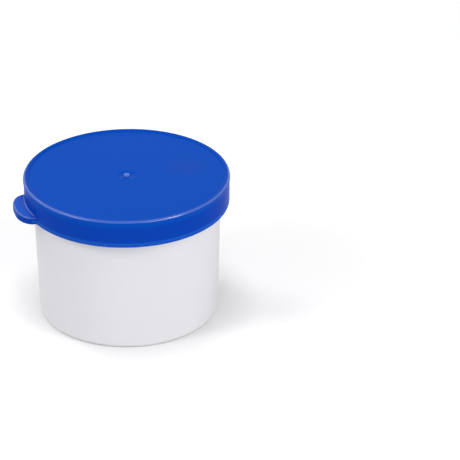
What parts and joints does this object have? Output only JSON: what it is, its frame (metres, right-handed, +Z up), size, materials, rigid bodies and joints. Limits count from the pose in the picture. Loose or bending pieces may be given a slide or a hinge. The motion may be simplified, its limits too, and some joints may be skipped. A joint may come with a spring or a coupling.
{
  "type": "specimen container",
  "caption": "Small round sample pot with a drafted wall, rolled rim and press-down lid that carries a pull tab and a hanging spoon.",
  "frame": {"origin": "centre of the cup's base, on its axis, in the plane that it stands on", "axes": "+Z up the cup's axis towards the lid, -X towards the lid's pull tab, spoon on the +X side"},
  "size_m": [0.0602, 0.057, 0.0409],
  "materials": {
    "cup": "satin moulded polypropylene, opaque cool white",
    "lid": "moulded polyethylene, soft gloss, opaque blue"
  },
  "bodies": {
    "cup": {"cup": "cup"},
    "lid": {"lid": "lid"}
  },
  "joints": [
    {"name": "lid_lift", "type": "slide", "parent": "cup", "child": "lid", "axis": [0, 0, 1], "range_m": [0, 0.05]}
  ]
}
